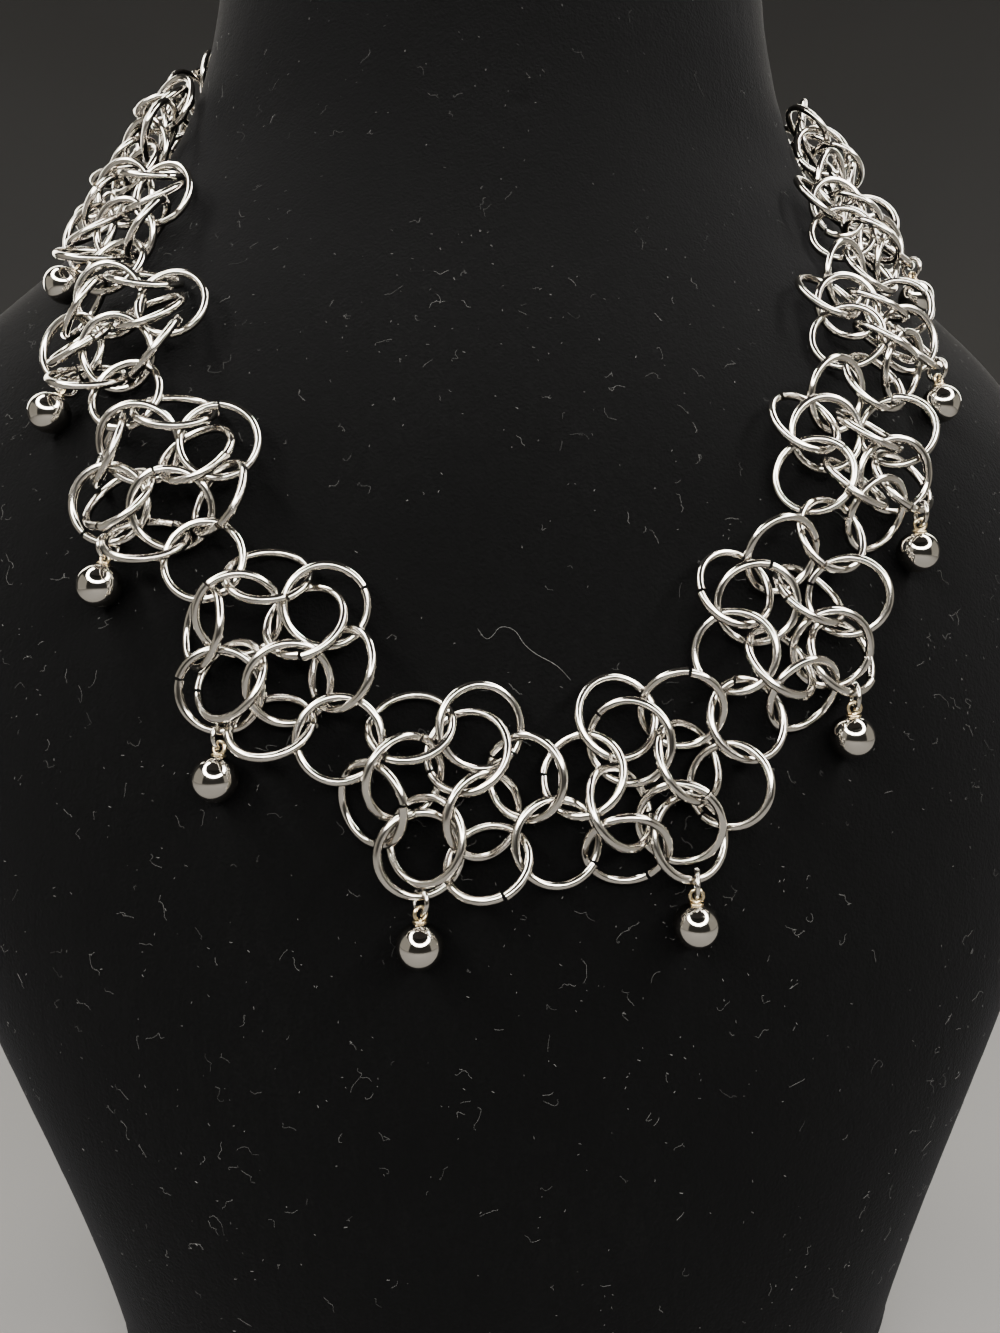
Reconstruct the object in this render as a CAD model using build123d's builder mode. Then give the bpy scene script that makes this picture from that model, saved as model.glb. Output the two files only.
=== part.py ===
from build123d import *
import math
import os
import numpy as np

# A woven ring necklace with ball drops, lying on a padded neck bust.
# Millimetres. The bust stands on Z = 0 and faces -Y, with X across the shoulders.

# Woven rings: round wire, sawn through once and closed
ring_outer = 10.55
ring_wire = 1.05
ring_cut = 0.28
ring_air = 0.2
ring_mean = ring_outer - ring_wire
ring_radius = ring_mean / 2

# Ball drops: a polished ball with a collar and an eye, on a small ring of thin wire
ball_diameter = 5.4
ball_air = 0.3
collar_diameter = 1.8
collar_rise = 0.35
eye_outer = 1.95
eye_wire = 0.48
eye_sunk = 0.25 * eye_wire
drop_outer = 3.5
drop_wire = 0.6
drop_air = 0.12

# A drop's small ring is best turned by this. Each drop takes the turn, and the slide along
# its woven ring, that keep it clear of the rings round it and near that.
drop_turn = 42.0
drop_turns = 80.0
drop_slides = 30.0
drop_slide_tries = 7
drop_turn_tries = 17
drop_samples = 60
drop_drift = 0.03

# Plain clasp behind the neck: a barrel with an eye at each end
clasp_length = 14.0
clasp_diameter = 4.2
clasp_round = 0.8
clasp_eye_outer = 4.6
clasp_eye_wire = 1.0

# Necklace: clusters of ten rings between joining rings, then single rings to the clasp
cluster_pitch = 2.88 * ring_mean
weave_lift = 1.55
foot_rise = 0.9 * ring_wire
plain_lean = 38.0
clasp_ring_lean = 15.0

# Neck bust
bust_height = 250.0
bust_width = 198.0
bust_depth = 104.0
bust_air = 0.475
section_points = 24

# How far past the bust's half width, squared, its pinch still grows
widest_share = 1.2

# Bust sections. Height is a share of bust_height, half width a share of bust_width,
# front and back are shares of bust_depth behind the middle of the base. Pinch is how much
# the sides draw in: 0 is an ellipse, more is a leaner shoulder, less is a squarer one.
bust_columns = ("height", "half_width", "front", "back", "pinch")
bust_rows = (
    (0.000, 0.310, -0.46, 0.46, -0.14),
    (0.120, 0.355, -0.47, 0.50, -0.14),
    (0.240, 0.422, -0.45, 0.55, -0.10),
    (0.360, 0.475, -0.39, 0.61, -0.04),
    (0.460, 0.500, -0.31, 0.67, 0.08),
    (0.540, 0.495, -0.23, 0.71, 0.28),
    (0.608, 0.455, -0.14, 0.75, 0.46),
    (0.668, 0.380, -0.06, 0.78, 0.50),
    (0.728, 0.303, 0.00, 0.81, 0.36),
    (0.790, 0.262, 0.04, 0.84, 0.12),
    (0.860, 0.245, 0.07, 0.87, 0.00),
    (0.984, 0.238, 0.11, 0.90, 0.00),
    (1.000, 0.222, 0.13, 0.88, 0.00),
)

# The necklace's route round the bust, from the back over the left shoulder to the front
# and back over the right one. Turn is in degrees from the front, height a share of
# bust_height. The left and right sides hang a little differently.
route = (
    (-180.0, 0.826),
    (-150.0, 0.818),
    (-122.0, 0.800),
    (-96.0, 0.768),
    (-63.0, 0.716),
    (-44.0, 0.645),
    (-33.0, 0.560),
    (-24.0, 0.478),
    (-14.5, 0.398),
    (0.0, 0.354),
    (13.5, 0.403),
    (20.0, 0.473),
    (28.5, 0.559),
    (41.0, 0.641),
    (62.0, 0.713),
    (96.0, 0.768),
    (122.0, 0.800),
    (150.0, 0.818),
    (180.0, 0.826),
)

# Step for finding the way along the route, and rounds for finding the nearest place on the bust
route_step = 0.5
nearest_rounds = 4

# How far each cluster is drawn out, from the front to the back, as a share of the pitch
drawn_left = (0.995, 0.97, 0.96, 1.0, 0.97, 1.0, 1.0)
drawn_right = (1.01, 0.90, 1.0, 1.02, 0.97, 1.0, 1.0)

# One cluster seen from the front. Each ring's place is along the necklace to the right, up
# towards the neck and out from the bust, as shares of the ring's mean diameter. Then come the
# heading of its forward edge and how far it tips, in degrees. Join is the joining ring, whose
# place counts from its own end of the cluster, and the others count from the middle.
cluster = {
    "join": (0.000, -0.010, -0.04, 180.0, 14.0),
    "top": (0.000, 0.915, -0.05, 180.0, 16.0),
    "foot": (0.000, -0.815, -0.05, 180.0, 16.0),
    "top_left": (-0.765, 0.560, -0.02, -52.0, 42.0),
    "foot_left": (-0.785, -0.440, -0.02, 30.0, 40.0),
    "top_right": (0.775, 0.580, 0.00, 35.0, 32.0),
    "foot_right": (0.785, -0.450, 0.00, -35.0, 38.0),
    "front_left": (-0.525, 0.020, 0.13, 175.0, 26.0),
    "front_top": (0.045, 0.540, 0.09, -20.0, 28.0),
    "front_right": (0.485, 0.000, 0.11, 180.0, 36.0),
    "front_foot": (-0.010, -0.550, 0.09, 20.0, 28.0),
}

# The rings of a cluster that pass through each other. Next is the joining ring on the right.
cluster_links = (
    ("join", "top_left"),
    ("join", "foot_left"),
    ("top_left", "top"),
    ("foot_left", "foot"),
    ("top", "top_right"),
    ("foot", "foot_right"),
    ("top_right", "next"),
    ("foot_right", "next"),
    ("front_left", "top_left"),
    ("front_left", "foot_left"),
    ("front_left", "front_top"),
    ("front_left", "front_foot"),
    ("front_top", "top"),
    ("front_foot", "foot"),
    ("front_top", "front_right"),
    ("front_foot", "front_right"),
    ("front_right", "top_right"),
    ("front_right", "foot_right"),
)

# Settling the rings: rounds, samples on a ring, pulls to the cluster's table, largest steps,
# the spare air that they push for, and how hard they push and are drawn
flat_rounds = 500
bust_rounds = 700
laying_rounds = 150
settle_down = laying_rounds * 2 / 3
settle_samples = 22
settle_pull = 0.012
join_pull = 0.03
settle_ease = 0.4
settle_step = 0.2
settle_turn = 0.05
settle_margin = 0.15
settle_watch = 10
push_gain = 0.22
press_gain = 0.5
link_pull = 0.2

# Each ring's saw cut is turned on from the last one's by this
cut_turn_on = 137.5

os.makedirs("parts", exist_ok=True)


# Bust surface

def unit(vectors):
    return vectors / np.maximum(np.linalg.norm(vectors, axis=-1, keepdims=True), 1e-9)


def smooth(known, values, at):
    """Cubic curve through a table's column, read at any heights."""
    known = np.asarray(known, float)
    values = np.asarray(values, float)
    slope = np.gradient(values, known)
    at = np.clip(at, known[0], known[-1])
    row = np.clip(np.searchsorted(known, at, side="right") - 1, 0, len(known) - 2)
    span = known[row + 1] - known[row]
    t = (at - known[row]) / span
    rise = (2 * t**3 - 3 * t**2 + 1) * values[row] + (3 * t**2 - 2 * t**3) * values[row + 1]
    lean = (t**3 - 2 * t**2 + t) * slope[row] + (t**3 - t**2) * slope[row + 1]
    return rise + span * lean


bust_table = {name: [row[k] for row in bust_rows] for k, name in enumerate(bust_columns)}


def bust_section(height):
    """Half width, middle, half depth and pinch of the bust at a height."""
    share = np.asarray(height, float) / bust_height
    column = {}
    for name in bust_columns[1:]:
        column[name] = smooth(bust_table["height"], bust_table[name], share)
    half_width = column["half_width"] * bust_width
    middle = (column["front"] + column["back"]) / 2 * bust_depth
    half_depth = (column["back"] - column["front"]) / 2 * bust_depth
    return half_width, middle, half_depth, column["pinch"]


def bust_point(turn, height):
    """Point on the bust at a turn from the front, in degrees, and a height."""
    half_width, middle, half_depth, pinch = bust_section(height)
    angle = np.radians(turn)
    drawn_in = 1 - pinch * np.sin(angle) ** 2
    x = half_width * np.sin(angle)
    y = middle - half_depth * np.cos(angle) * drawn_in
    return np.stack([x, y, np.broadcast_to(height, np.shape(x))], axis=-1)


def bust_level(points):
    """Below 0 inside the bust, 0 on it and above 0 outside."""
    half_width, middle, half_depth, pinch = bust_section(points[..., 2])
    across = (points[..., 0] / half_width) ** 2
    along = (points[..., 1] - middle) / (half_depth * (1 - pinch * np.minimum(across, widest_share)))
    return across + along**2 - 1


def slope_of(level, points, step=0.05):
    """Steepest rise of a surface's level."""
    rises = [level(points + move) - level(points - move) for move in step * np.eye(3)]
    return np.stack(rises, axis=-1) / (2 * step)


def bust_normal(points):
    return unit(slope_of(bust_level, points))


def on_bust(point):
    """Nearest place on the bust, near enough for a point close to it."""
    for _ in range(nearest_rounds):
        slope = slope_of(bust_level, point)
        point = point - slope * bust_level(point) / np.dot(slope, slope)
    return point


# Route of the necklace

def route_line(samples=1441):
    """Points of the route on the bust and their distance along it from the front."""
    turns = np.linspace(route[0][0], route[-1][0], samples)
    heights = smooth([row[0] for row in route], [row[1] * bust_height for row in route], turns)
    line = bust_point(turns, heights)
    steps = np.linalg.norm(np.diff(line, axis=0), axis=1)
    along = np.concatenate([[0.0], np.cumsum(steps)])
    return line, along - np.interp(0.0, turns, along)


line, line_along = route_line()


def on_route(distance, lift):
    """Point lifted off the bust, with the way along to the right, the way up and the way out."""
    at = np.array([np.interp(distance, line_along, line[:, k]) for k in range(3)])
    before = np.array([np.interp(distance - route_step, line_along, line[:, k]) for k in range(3)])
    ahead = np.array([np.interp(distance + route_step, line_along, line[:, k]) for k in range(3)])
    out = bust_normal(at)
    along = unit(ahead - before)
    along = unit(along - out * np.dot(along, out))
    return at + out * lift, along, np.cross(out, along), out


def ring_axis(along, up, out, heading, lean):
    """Axis of a ring whose edge towards heading is tipped forward by lean."""
    heading, lean = math.radians(heading), math.radians(lean)
    edge = along * math.cos(heading) + up * math.sin(heading)
    return out * math.cos(lean) - edge * math.sin(lean)


def join_places(drawn):
    """Distances of the joining rings from the front one."""
    places = [0.0]
    for share in drawn:
        places.append(places[-1] + cluster_pitch * share)
    return places


def part_turn(turn, share):
    """A share of a turn between two frames, given as a rotation matrix."""
    angle = math.acos(max(-1.0, min(1.0, (np.trace(turn) - 1) / 2)))
    if angle < 1e-6:
        return np.eye(3)
    cross = (turn - turn.T) / (2 * math.sin(angle))
    sweep = share * angle
    return np.eye(3) + math.sin(sweep) * cross + (1 - math.cos(sweep)) * cross @ cross


class Weave:
    """Rings held by a row of frames, and which of them are linked or pinned.

    Each frame has a middle and its ways along, up and out as columns. The row can be drawn
    straight, from share 0, and laid along the route, at share 1.
    """

    def __init__(self, middles, turns, base):
        self.middles, self.turns, self.base = middles, turns, base
        self.names, self.frames, self.places, self.axes = [], [], [], []
        self.pulls, self.lifts = [], []
        self.links, self.pinned = [], []

    def add(self, name, frame, place, axis, pull):
        self.names.append(name)
        self.frames.append(frame)
        self.places.append(place)
        self.axes.append(axis)
        self.pulls.append(pull)
        self.lifts.append(drop_lift if name == "foot" else ring_lift)
        return len(self.names) - 1

    def link_cluster(self, made, join, following):
        made = {**made, "join": join, "next": following}
        self.links += [(made[one], made[two]) for one, two in cluster_links]

    def homes(self, share):
        """Where the rings belong when the row is laid along the route by a share."""
        middles, turns = list(self.middles), list(self.turns)
        for side in (-1, 1):
            k = self.base
            while 0 <= k + side < len(self.middles):
                step = self.turns[k].T @ (self.middles[k + side] - self.middles[k])
                straight = np.array([side * np.linalg.norm(step), 0.0, 0.0])
                middles[k + side] = middles[k] + turns[k] @ (straight + share * (step - straight))
                turns[k + side] = turns[k] @ part_turn(self.turns[k].T @ self.turns[k + side], share)
                k += side
        places = [middles[k] + turns[k] @ place for k, place in zip(self.frames, self.places)]
        axes = [turns[k] @ axis for k, axis in zip(self.frames, self.axes)]
        return np.array(places), np.array(axes)


ring_lift = bust_air + ring_wire / 2
drop_lift = bust_air + foot_rise + ring_wire / 2
inner_rings = [name for name in cluster if name != "join"]


def flat_weave(count=3):
    """A few clusters in a straight line on a flat place."""
    middles = [np.array([cluster_pitch * k / 2, 0.0, 0.0]) for k in range(2 * count + 1)]
    weave = Weave(middles, [np.eye(3)] * len(middles), 0)

    def ring(name, frame):
        along, up, out, heading, lean = cluster[name]
        place = np.array([along, up, out]) * ring_mean
        place[2] += weave_lift
        return weave.add(name, frame, place, ring_axis(*np.eye(3), heading, lean), settle_pull)

    joins = [ring("join", 2 * k) for k in range(count + 1)]
    for k in range(count):
        made = {name: ring(name, 2 * k + 1) for name in inner_rings}
        weave.link_cluster(made, joins[k], joins[k + 1])
    return weave


def settled_cluster():
    """Places and axes of one cluster's rings and its joining ring, settled on a flat place."""
    weave = flat_weave()
    centres, axes = settle(weave, lambda points: points[..., 2], flat_rounds, 0)
    first = weave.names.index("top") + len(inner_rings)
    layout = {"join": [centres[1] - weave.middles[2], axes[1]]}
    for k, name in enumerate(inner_rings):
        layout[name] = [centres[first + k] - weave.middles[3], axes[first + k]]
    return layout


def bust_weave(layout):
    """All rings of the necklace, laid out along the route."""
    left_places = [-place for place in reversed(join_places(drawn_left))]
    places = left_places + join_places(drawn_right)[1:]
    middles, turns = [], []
    for k, place in enumerate(places):
        foot, along, up, out = on_route(place, 0.0)
        middles.append(foot)
        turns.append(np.stack([along, up, out], axis=1))
        if k + 1 < len(places):
            following = on_route(places[k + 1], 0.0)[0]
            middle = on_bust((foot + following) / 2)
            along = unit(following - foot)
            across = np.cross(bust_normal(middle), along)
            spots = [middle, foot, following, middle + across * ring_mean, middle - across * ring_mean]
            out = sum(bust_normal(on_bust(spot)) for spot in spots)
            out = unit(out - along * np.dot(out, along))
            middles.append((foot + following) / 2)
            turns.append(np.stack([along, np.cross(out, along), out], axis=1))
    left_end = plain_places(places[0], -1)
    right_end = plain_places(places[-1], 1)
    middles = [end[0] for end in reversed(left_end)] + middles + [end[0] for end in right_end]
    turns = [end[1] for end in reversed(left_end)] + turns + [end[1] for end in right_end]
    skip = len(left_end)
    weave = Weave(middles, turns, skip + 2 * (len(left_places) - 1))
    joins = [weave.add("join", skip + 2 * k, *layout["join"], join_pull) for k in range(len(places))]
    clusters = []
    for k in range(len(places) - 1):
        made = {}
        for name in inner_rings:
            made[name] = weave.add(name, skip + 2 * k + 1, *layout[name], settle_pull)
        weave.link_cluster(made, joins[k], joins[k + 1])
        clusters.append(made)
    for side, end, last in ((-1, left_end, joins[0]), (1, right_end, joins[-1])):
        for k, (middle, turn, axis) in enumerate(end):
            frame = skip - 1 - k if side < 0 else skip + 2 * len(places) - 1 + k
            ring = weave.add("plain", frame, np.zeros(3), axis, join_pull)
            weave.links.append((last, ring))
            last = ring
        weave.pinned.append(last)
    return weave, clusters


def plain_places(start, side):
    """Single rings from a side's last joining ring to the clasp: centre, frame and axis."""
    eye = clasp_middle + side * clasp_along * clasp_length / 2
    end = line_along[-1] if side > 0 else -line_along[0]
    stretch = end - abs(start) - clasp_length / 2 - ring_radius
    count = math.ceil(stretch / (ring_mean - ring_wire - 2 * ring_air))
    rings = []
    for k in range(count):
        distance = start + side * stretch * (k + 1) / count
        place, along, up, out = on_route(distance, weave_lift + ring_wire)
        lean = plain_lean * (-1) ** (count - 1 - k)
        if k == count - 1:
            place = eye - side * along * ring_radius
            lean = clasp_ring_lean
        rings.append((place, np.stack([along, up, out], axis=1), ring_axis(*np.eye(3), 90.0, lean)))
    return rings


# Settling: rings push each other apart and off what they lie on, and keep their links

def ring_frames(axes):
    """Two directions across each ring."""
    level = np.where(np.abs(axes[:, :1]) < 0.9, [[1.0, 0.0, 0.0]], [[0.0, 1.0, 0.0]])
    first = unit(np.cross(axes, level))
    return first, np.cross(axes, first)


def crossings(one, two, centres, axes, frames):
    """Where ring two's centre line crosses ring one's plane, and how far from ring one's centre."""
    u, v = frames[0][two], frames[1][two]
    near = (axes[one] * u).sum(-1)
    far = (axes[one] * v).sum(-1)
    size = np.maximum(np.hypot(near, far), 1e-6)
    height = (axes[one] * (centres[one] - centres[two])).sum(-1) / ring_radius
    swing = np.arccos(np.clip(height / size, -1.0, 1.0))
    middle = np.arctan2(far, near)
    points = []
    for angle in (middle - swing, middle + swing):
        rim = np.cos(angle)[:, None] * u + np.sin(angle)[:, None] * v
        points.append(centres[two] + ring_radius * rim)
    points = np.stack(points, 1)
    reach = np.linalg.norm(points - centres[one][:, None], axis=-1)
    crosses = np.abs(height) < size
    return points, reach, crosses & ((reach[:, 0] < ring_radius) != (reach[:, 1] < ring_radius))


def limited(steps, most):
    size = np.linalg.norm(steps, axis=1, keepdims=True)
    return steps * np.minimum(1.0, most / np.maximum(size, 1e-9))


def settle(weave, level, rounds, laying):
    """Moves the rings until each two keep their air, linked only where they should be.

    The row is laid along the route in the first rounds, and then set down on the surface.
    """
    pulls, lifts = np.array(weave.pulls)[:, None], np.array(weave.lifts)[:, None]
    free = np.ones((len(pulls), 1))
    free[weave.pinned] = 0.0
    linked = np.zeros((len(pulls), len(pulls)), bool)
    for one, two in weave.links:
        linked[one, two] = linked[two, one] = True
    angles = np.linspace(0, 2 * math.pi, settle_samples, endpoint=False)[None, :, None]
    need = ring_wire + ring_air + settle_margin
    home, home_axes = weave.homes(0.0 if laying else 1.0)
    centres, axes = home.copy(), home_axes.copy()
    for k in range(rounds):
        if k < laying:
            moved, moved_axes = weave.homes((k + 1) / laying)
            centres = centres + moved - home
            axes = unit(axes + moved_axes - home_axes)
            home, home_axes = moved, moved_axes
        ease = max(0.0, 1 - max(0, k - laying) / (settle_ease * (rounds - laying)))
        ground = max(0.0, min(1.0, (k - laying) / settle_down)) if laying else 1.0
        if k % settle_watch == 0:
            apart = np.linalg.norm(centres[:, None] - centres[None], axis=-1)
            one, two = np.where(np.triu((apart < ring_mean + 2 * ring_wire) | linked, 1))
            wanted = linked[one, two]
            slope = slope_of(level, centres)
            steep = np.linalg.norm(slope, axis=-1)
            out = slope / steep[:, None]
        frames = ring_frames(axes)
        rim = ring_radius * (np.cos(angles) * frames[0][:, None] + np.sin(angles) * frames[1][:, None])
        move = np.zeros_like(centres)
        turn = np.zeros_like(centres)
        # A lost link is drawn in, and a false one is drawn out
        points, reach, now = crossings(one, two, centres, axes, frames)
        wrong = np.where(now != wanted)[0]
        if len(wrong):
            point = points[wrong, np.argmin(reach[wrong], axis=1)]
            draw = np.where(wanted[wrong], link_pull, -link_pull)[:, None]
            pull = unit(centres[one[wrong]] - point) * draw
            np.add.at(move, two[wrong], pull)
            np.add.at(move, one[wrong], -pull)
        # Rings in the right order are kept apart
        pairs = np.where(now == wanted)[0]
        first = np.concatenate([one[pairs], two[pairs]])
        second = np.concatenate([two[pairs], one[pairs]])
        here = rim[first] + centres[first][:, None]
        there = here - centres[second][:, None]
        there = there - (there * axes[second][:, None]).sum(-1, keepdims=True) * axes[second][:, None]
        there = ring_radius * unit(there)
        way = here - there - centres[second][:, None]
        gap = np.linalg.norm(way, axis=-1)
        lack = np.maximum(0.0, need - gap)[..., None]
        share = lack / (lack.sum(1, keepdims=True) + 1e-9)
        push = way / (gap[..., None] + 1e-9) * lack
        force = (push * share).sum(1)
        np.add.at(move, first, push_gain * force)
        np.add.at(move, second, -push_gain * force)
        turn_gain = 2 * push_gain / ring_radius**2
        np.add.at(turn, first, turn_gain * (np.cross(rim[first], push) * share).sum(1))
        np.add.at(turn, second, -turn_gain * (np.cross(there, push) * share).sum(1))
        # What the rings lie on holds each rim off
        if ground > 0:
            rim_points = rim[:, ::2] + centres[:, None]
            above = level(rim_points) / steep[:, None]
            sunk = np.maximum(0.0, lifts - above)[..., None]
            weight = sunk / (sunk.sum(1, keepdims=True) + 1e-9)
            press = press_gain * ground * out[:, None] * sunk
            move += (press * weight).sum(1)
            turn += (np.cross(rim[:, ::2], press) * weight).sum(1) / ring_radius**2
        move += ease * pulls * (home - centres)
        turn += ease * pulls * np.cross(axes, home_axes)
        move = free * limited(move, settle_step)
        turn = free * limited(turn, settle_turn)
        centres = centres + move
        axes = unit(axes + np.cross(turn, axes))
    return centres, axes


# Clasp across the middle of the back. Its left side is at the end of the route.
clasp_lift = clasp_eye_outer / 2 + bust_air
clasp_middle, clasp_left, _, clasp_out = on_route(line_along[0] + route_step, clasp_lift)
clasp_along = -clasp_left

weave, clusters = bust_weave(settled_cluster())
centres, axes = settle(weave, bust_level, bust_rounds, laying_rounds)


# Solids of the pieces

def wire_ring(outer, wire, cut):
    """Round wire ring about Z, with its saw cut on the X side."""
    mean_radius = (outer - wire) / 2
    cut_turn = math.degrees(cut / mean_radius)
    with BuildPart() as ring:
        with BuildSketch(Plane.XZ):
            with Locations((mean_radius, 0)):
                Circle(wire / 2)
        revolve(axis=Axis.Z, revolution_arc=360 - cut_turn)
    return ring.part


def plane_of(origin, axis, towards):
    """Plane at a place, square to an axis, with X towards a direction across it."""
    return Plane(origin=tuple(origin), x_dir=tuple(towards), z_dir=tuple(axis))


def placed(shape, plane, label):
    copy = plane.location * shape
    copy.label = label
    return copy


# Chain: every ring is a loose solid, linked through its neighbours
woven_ring = wire_ring(ring_outer, ring_wire, ring_cut)
ring_sides = {"chain_left": [], "chain_right": []}
across, beside = ring_frames(axes)
for k, centre in enumerate(centres):
    cut = math.radians(cut_turn_on * k)
    towards = across[k] * math.cos(cut) + beside[k] * math.sin(cut)
    side = "chain_left" if centre[0] < ring_radius / 2 else "chain_right"
    label = f"{weave.names[k]}_ring_{k + 1}"
    ring_sides[side].append(placed(woven_ring, plane_of(centre, axes[k], towards), label))
for side, rings in ring_sides.items():
    export_step(Compound(label=side, children=rings), f"parts/{side}.step")

# Ball drop about its eye: the ball hangs below on Z, and X is the eye's axis
drop_radius = (drop_outer - drop_wire) / 2
eye_radius = (eye_outer - eye_wire) / 2
ring_to_drop = drop_radius - (ring_wire + drop_wire) / 2 - drop_air
drop_to_eye = drop_radius + eye_radius - (drop_wire + eye_wire) / 2 - drop_air
eye_to_collar = eye_radius - eye_wire / 2 + eye_sunk
eye_to_ball = eye_radius - eye_wire / 2 + collar_rise + ball_diameter / 2
drop_reach = ring_to_drop + drop_to_eye + eye_to_ball
with BuildPart() as ball_drop:
    with Locations((0, 0, -eye_to_ball)):
        Sphere(ball_diameter / 2)
    with BuildSketch(Plane.XY.offset(-eye_to_ball)):
        Circle(collar_diameter / 2)
    extrude(amount=eye_to_ball - eye_to_collar)
    Torus(eye_radius, eye_wire / 2, rotation=(0, 90, 0))

drop_ring = wire_ring(drop_outer, drop_wire, ring_cut / 2)


def air_to_rings(points, thickness):
    """Least air between the woven rings and a round thing of half a thickness along its points."""
    away = points[:, None] - centres
    height = (away * axes).sum(-1)
    reach = np.linalg.norm(away - height[..., None] * axes, axis=-1)
    return np.hypot(reach - ring_radius, height).min() - (ring_wire + thickness) / 2


def hung(ring, slide):
    """Hook point of a drop on a woven ring, its way down and the wire's way there."""
    axis = axes[ring]
    down = np.array([0.0, 0.0, -1.0])
    lowest = unit(down - axis * np.dot(down, axis))
    beside = np.cross(axis, lowest)
    slide = math.radians(slide)
    hook_way = lowest * math.cos(slide) + beside * math.sin(slide)
    hook = centres[ring] + ring_radius * hook_way
    ball = hook + down * drop_reach
    for _ in range(nearest_rounds):
        foot = on_bust(ball)
        ball = foot + bust_normal(foot) * (ball_diameter / 2 + ball_air)
        ball = hook + unit(ball - hook) * drop_reach
    hang = unit(ball - hook)
    wire_way = np.cross(axis, hook_way)
    return hook, hang, unit(wire_way - hang * np.dot(wire_way, hang))


def air_round_drop(hook, hang, drop_axis):
    """Least air between a hung drop and the woven rings."""
    angles = np.linspace(0, 2 * math.pi, drop_samples, endpoint=False)[:, None]
    rim = drop_radius * (np.cos(angles) * hang + np.sin(angles) * np.cross(drop_axis, hang))
    ring_points = hook + hang * ring_to_drop + rim
    eye = hook + hang * (ring_to_drop + drop_to_eye)
    ball = hook + hang * drop_reach
    airs = [air_to_rings(ring_points, drop_wire)]
    airs.append(air_to_rings(eye[None], eye_outer))
    airs.append(air_to_rings(ball[None], ball_diameter))
    return min(airs)


def hang_drop(ring):
    """Planes of the small ring and the ball that hang from a foot ring."""
    best = None
    for slide in np.linspace(-drop_slides, drop_slides, drop_slide_tries):
        hook, hang, wire_way = hung(ring, slide)
        for turn in np.linspace(drop_turn - drop_turns, drop_turn + drop_turns, drop_turn_tries):
            angle = math.radians(turn)
            axis = wire_way * math.cos(angle) + np.cross(hang, wire_way) * math.sin(angle)
            drift = abs(slide) / drop_slides + abs(turn - drop_turn) / drop_turns
            score = min(air_round_drop(hook, hang, axis), drop_air) - drop_drift * drift
            if best is None or score > best[0]:
                best = score, hook, hang, axis
    _, hook, hang, drop_axis = best
    ring_plane = plane_of(hook + hang * ring_to_drop, drop_axis, -hang)
    eye = hook + hang * (ring_to_drop + drop_to_eye)
    ball_plane = plane_of(eye, -hang, np.cross(hang, drop_axis))
    return ring_plane, ball_plane


for k, made in enumerate(clusters):
    ring_plane, ball_plane = hang_drop(made["foot"])
    ring_name, ball_name = f"drop_ring_{k + 1:02d}", f"ball_drop_{k + 1:02d}"
    export_step(placed(drop_ring, ring_plane, ring_name), f"parts/{ring_name}.step")
    export_step(placed(ball_drop.part, ball_plane, ball_name), f"parts/{ball_name}.step")

# Clasp: a barrel along X with an eye at each end
clasp_eye_radius = (clasp_eye_outer - clasp_eye_wire) / 2
barrel_length = clasp_length - 2 * clasp_eye_radius
with BuildPart() as clasp_barrel:
    Cylinder(clasp_diameter / 2, barrel_length, rotation=(0, 90, 0))
    fillet(clasp_barrel.edges().filter_by(GeomType.CIRCLE), clasp_round)
    with Locations((-clasp_length / 2, 0, 0), (clasp_length / 2, 0, 0)):
        Torus(clasp_eye_radius, clasp_eye_wire / 2, rotation=(90, 0, 0))
clasp_plane = plane_of(clasp_middle, clasp_out, clasp_along)
export_step(placed(clasp_barrel.part, clasp_plane, "clasp"), "parts/clasp.step")

# Neck bust: one padded body, flat below and on top of the neck
section_heights = []
for low, high in zip(bust_table["height"], bust_table["height"][1:]):
    section_heights += [low * bust_height, (low + high) / 2 * bust_height]
section_heights.append(bust_height)
section_turns = np.linspace(-180, 180, section_points, endpoint=False)
with BuildPart() as neck_bust:
    for height in section_heights:
        with BuildSketch(Plane.XY.offset(height)):
            with BuildLine():
                Spline(*[tuple(point[:2]) for point in bust_point(section_turns, height)], periodic=True)
            make_face()
    loft()
neck_bust.part.label = "neck_bust"
export_step(neck_bust.part, "parts/neck_bust.step")
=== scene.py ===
"""Chainmail necklace of polished wire rings with ball drops, on a black velvet neck bust."""

import math

import bmesh
import bpy
import numpy as np
from mathutils import Euler, Matrix, Vector, noise
from mathutils.bvhtree import BVHTree


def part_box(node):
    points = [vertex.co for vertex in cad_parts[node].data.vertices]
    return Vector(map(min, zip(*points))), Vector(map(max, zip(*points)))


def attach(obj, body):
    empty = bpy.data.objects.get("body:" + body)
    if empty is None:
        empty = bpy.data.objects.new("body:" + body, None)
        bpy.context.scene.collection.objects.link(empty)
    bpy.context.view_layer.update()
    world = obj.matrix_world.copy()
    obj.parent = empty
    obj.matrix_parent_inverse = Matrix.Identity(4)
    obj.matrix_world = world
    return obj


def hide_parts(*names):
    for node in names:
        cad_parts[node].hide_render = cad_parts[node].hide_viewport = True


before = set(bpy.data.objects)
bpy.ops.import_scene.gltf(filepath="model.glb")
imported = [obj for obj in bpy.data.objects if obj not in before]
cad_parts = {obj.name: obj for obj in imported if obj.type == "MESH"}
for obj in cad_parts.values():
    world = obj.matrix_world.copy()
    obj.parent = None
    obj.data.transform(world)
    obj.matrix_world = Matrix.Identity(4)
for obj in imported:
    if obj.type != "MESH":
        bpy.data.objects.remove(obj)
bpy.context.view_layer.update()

bl_info = {
    "name": "Chainmail necklace on a neck bust",
    "version": (1, 0, 0),
    "blender": (4, 5, 0),
    "location": "View3D > Sidebar > Necklace",
    "description": "Wire rings, ball drops, barrel clasp, velvet bust and a plain studio",
    "category": "Object",
}

MM = 0.001
BODY = "root"
NODE_STEP = 190


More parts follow.
